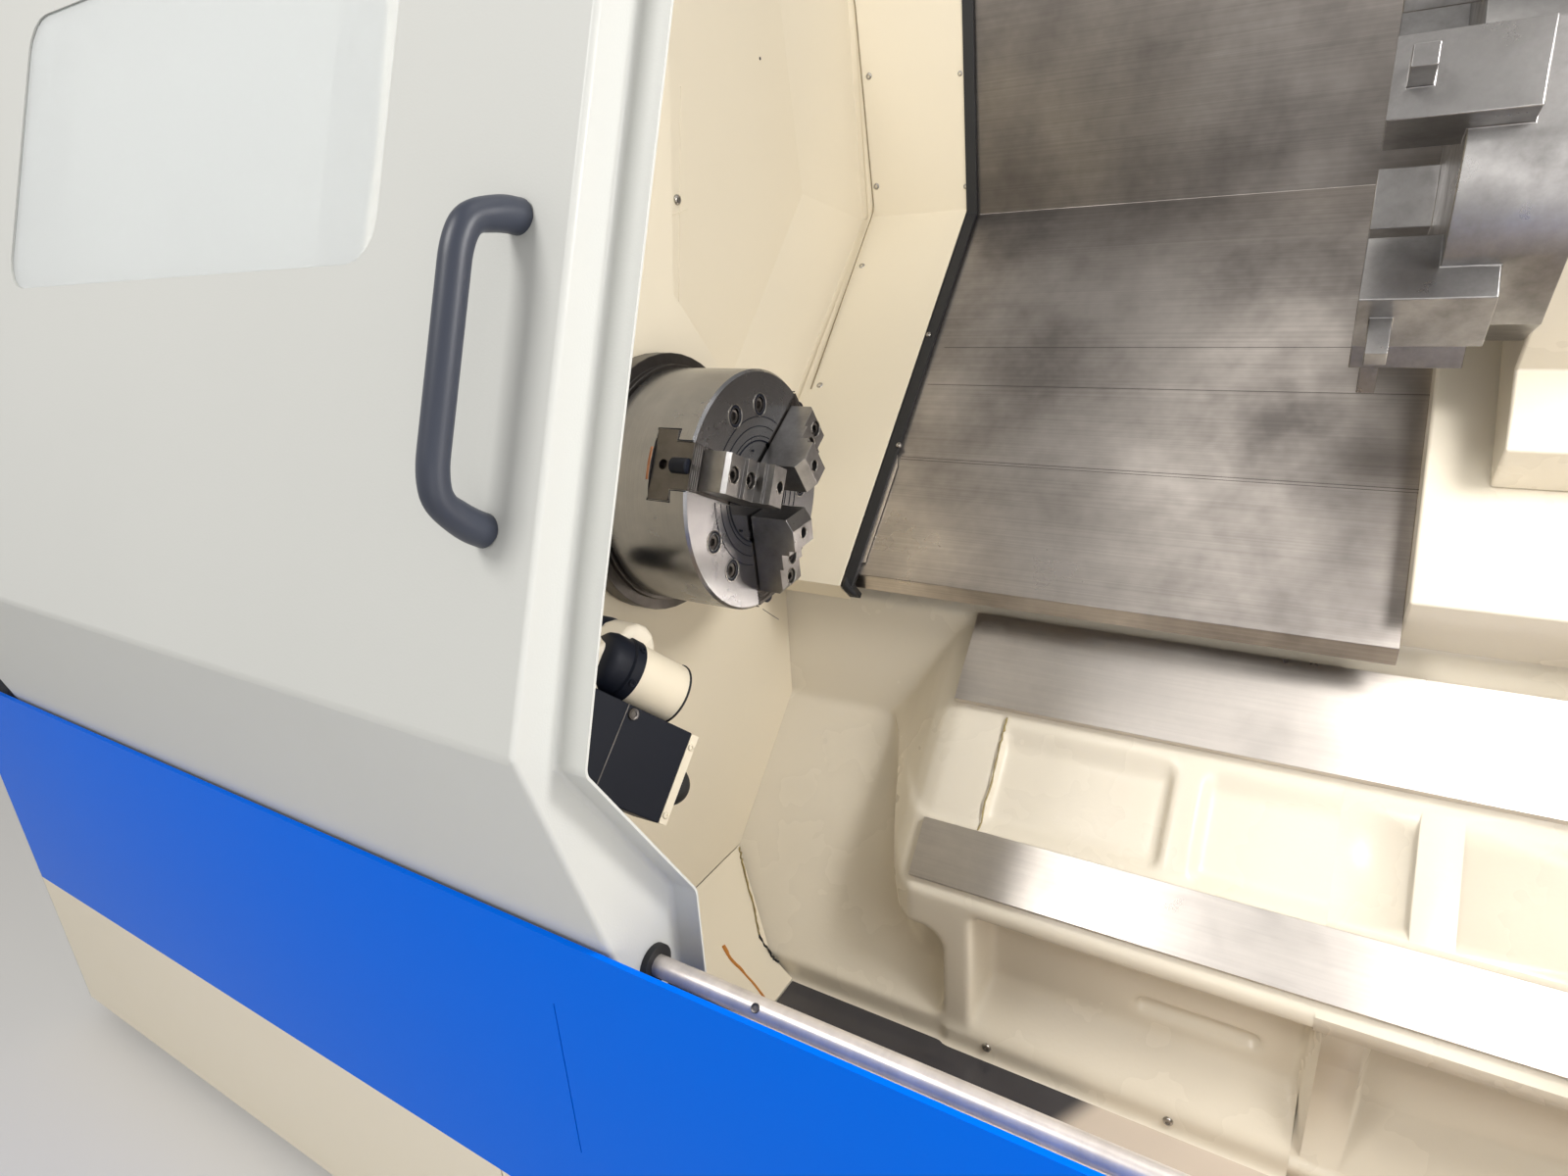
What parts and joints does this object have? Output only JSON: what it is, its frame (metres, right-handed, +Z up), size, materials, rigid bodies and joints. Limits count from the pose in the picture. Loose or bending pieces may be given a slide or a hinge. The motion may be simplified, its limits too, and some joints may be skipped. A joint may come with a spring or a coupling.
{
  "type": "cnc turning lathe",
  "caption": "Slant-bed turning lathe with a large power chuck, a sliding bent-sheet door, a turret, a tailstock and full sheet covers.",
  "frame": {"origin": "on the floor, under the middle of the machine's bounding box", "axes": "+X along the spindle from the chuck to the tailstock, +Y away from the operator, +Z up"},
  "size_m": [3.8, 2.1, 2.15],
  "materials": {
    "cream_paint": "satin cream paint",
    "white_paint": "fine orange-peel off-white paint",
    "blue_paint": "glossy blue paint",
    "pan_paint": "worn wet paint",
    "ground_steel": "ground and oiled",
    "dark_steel": "blackened",
    "black_metal": "black anodised",
    "black_rubber": "matte",
    "black_plastic": "matte",
    "handle_coat": "dark slate coat on a tube",
    "window_pane": "clear pane",
    "stop_red": "glossy"
  },
  "bodies": {
    "machine": {"bed_casting": "cream_paint", "headstock_casting": "cream_paint", "spindle_housing": "cream_paint", "spindle_bearing_front": "ground_steel", "spindle_bearing_rear": "ground_steel", "motor_stator": "dark_steel", "tailstock_way_upper": "ground_steel", "tailstock_way_lower": "ground_steel", "end_wall": "cream_paint", "chute_plate": "cream_paint", "chip_pan": "pan_paint", "headstock_cover": "cream_paint", "cover_plate": "cream_paint", "wiper_strip": "black_rubber", "front_panel": "blue_paint", "skirt_panel_left": "cream_paint", "skirt_panel_right": "cream_paint", "front_cover_left": "white_paint", "front_cover_right": "white_paint", "door_rail": "ground_steel", "door_top_rail": "ground_steel", "end_cabinet_left": "white_paint", "end_cabinet_right": "white_paint", "rear_panel": "white_paint", "electrical_cabinet": "white_paint", "levelling_foot_1": "dark_steel", "levelling_foot_2": "dark_steel", "levelling_foot_3": "dark_steel", "levelling_foot_4": "dark_steel", "tool_setter_base": "cream_paint"},
    "door": {"door_shell": "white_paint", "door_window": "window_pane", "door_handle": "handle_coat", "door_bushing_left": "black_plastic", "door_bushing_right": "black_plastic"},
    "spindle_line": {"spindle": "ground_steel", "motor_rotor": "dark_steel", "chuck_adapter": "dark_steel", "chuck_body": "ground_steel", "chuck_cylinder": "ground_steel"},
    "jaw_1": {"master_jaw_1": "ground_steel", "top_jaw_1": "ground_steel"},
    "jaw_2": {"master_jaw_2": "ground_steel", "top_jaw_2": "ground_steel"},
    "jaw_3": {"master_jaw_3": "ground_steel", "top_jaw_3": "ground_steel"},
    "carriage": {"saddle": "cream_paint", "way_cover_left": "ground_steel", "way_cover_right": "ground_steel"},
    "turret_slide": {"cross_slide": "cream_paint"},
    "turret": {"turret_disc": "ground_steel"},
    "tailstock": {"tailstock_body": "cream_paint"},
    "quill": {"tailstock_quill": "ground_steel"},
    "centre": {"live_centre": "ground_steel"},
    "setter": {"tool_setter_elbow": "cream_paint", "tool_setter_arm": "black_metal"},
    "pendant": {"pendant_arm": "white_paint", "pendant_box": "white_paint"},
    "stop_button": {"emergency_button": "stop_red"},
    "cabinet_front": {"cabinet_door": "white_paint"}
  },
  "joints": [
    {"name": "door_slide", "type": "slide", "parent": "machine", "child": "door", "axis": [1, 0, 0], "range_m": [-0.14, 0.96]},
    {"name": "spindle_turn", "type": "hinge", "parent": "machine", "child": "spindle_line", "pos_m": [-0.4, -0.25, 1.2], "axis": [1, 0, 0], "continuous": true},
    {"name": "jaw_1_slide", "type": "slide", "parent": "spindle_line", "child": "jaw_1", "axis": [0, 0.8192, 0.5736], "range_m": [-0.003, 0.0023]},
    {"name": "jaw_2_slide", "type": "slide", "parent": "spindle_line", "child": "jaw_2", "axis": [0, -0.9063, 0.4226], "range_m": [-0.003, 0.0023]},
    {"name": "jaw_3_slide", "type": "slide", "parent": "spindle_line", "child": "jaw_3", "axis": [0, 0.0872, -0.9962], "range_m": [-0.003, 0.0023]},
    {"name": "saddle_slide", "type": "slide", "parent": "machine", "child": "carriage", "axis": [1, 0, 0], "range_m": [-0.62, 0.1]},
    {"name": "cross_slide_travel", "type": "slide", "parent": "carriage", "child": "turret_slide", "axis": [0, 0.7071, 0.7071], "range_m": [-0.27, 0.02]},
    {"name": "turret_index", "type": "hinge", "parent": "turret_slide", "child": "turret", "pos_m": [0.58, 0.17426, 1.62426], "axis": [1, 0, 0], "continuous": true},
    {"name": "tailstock_travel", "type": "slide", "parent": "machine", "child": "tailstock", "axis": [1, 0, 0], "range_m": [-0.55, 0.1]},
    {"name": "quill_travel", "type": "slide", "parent": "tailstock", "child": "quill", "axis": [1, 0, 0], "range_m": [-0.12, 0]},
    {"name": "centre_turn", "type": "hinge", "parent": "quill", "child": "centre", "pos_m": [0.98, -0.25, 1.2], "axis": [1, 0, 0], "continuous": true},
    {"name": "setter_swing", "type": "hinge", "parent": "machine", "child": "setter", "pos_m": [-0.525, -0.5, 1.007], "axis": [1, 0, 0], "range_deg": [-5, 25]},
    {"name": "pendant_swing", "type": "hinge", "parent": "machine", "child": "pendant", "pos_m": [1.862, -0.8, 1.798], "axis": [0, 0, 1], "range_deg": [0, 60]},
    {"name": "stop_press", "type": "slide", "parent": "pendant", "child": "stop_button", "axis": [0, 1, 0], "range_m": [0, 0.006]},
    {"name": "cabinet_swing", "type": "hinge", "parent": "machine", "child": "cabinet_front", "pos_m": [-1.3, 1.05, 1.2], "axis": [0, 0, 1], "range_deg": [0, 110]}
  ],
  "couplings": [
    {"joint": "jaw_2_slide", "follows": "jaw_1_slide", "ratio": 1},
    {"joint": "jaw_3_slide", "follows": "jaw_1_slide", "ratio": 1}
  ]
}
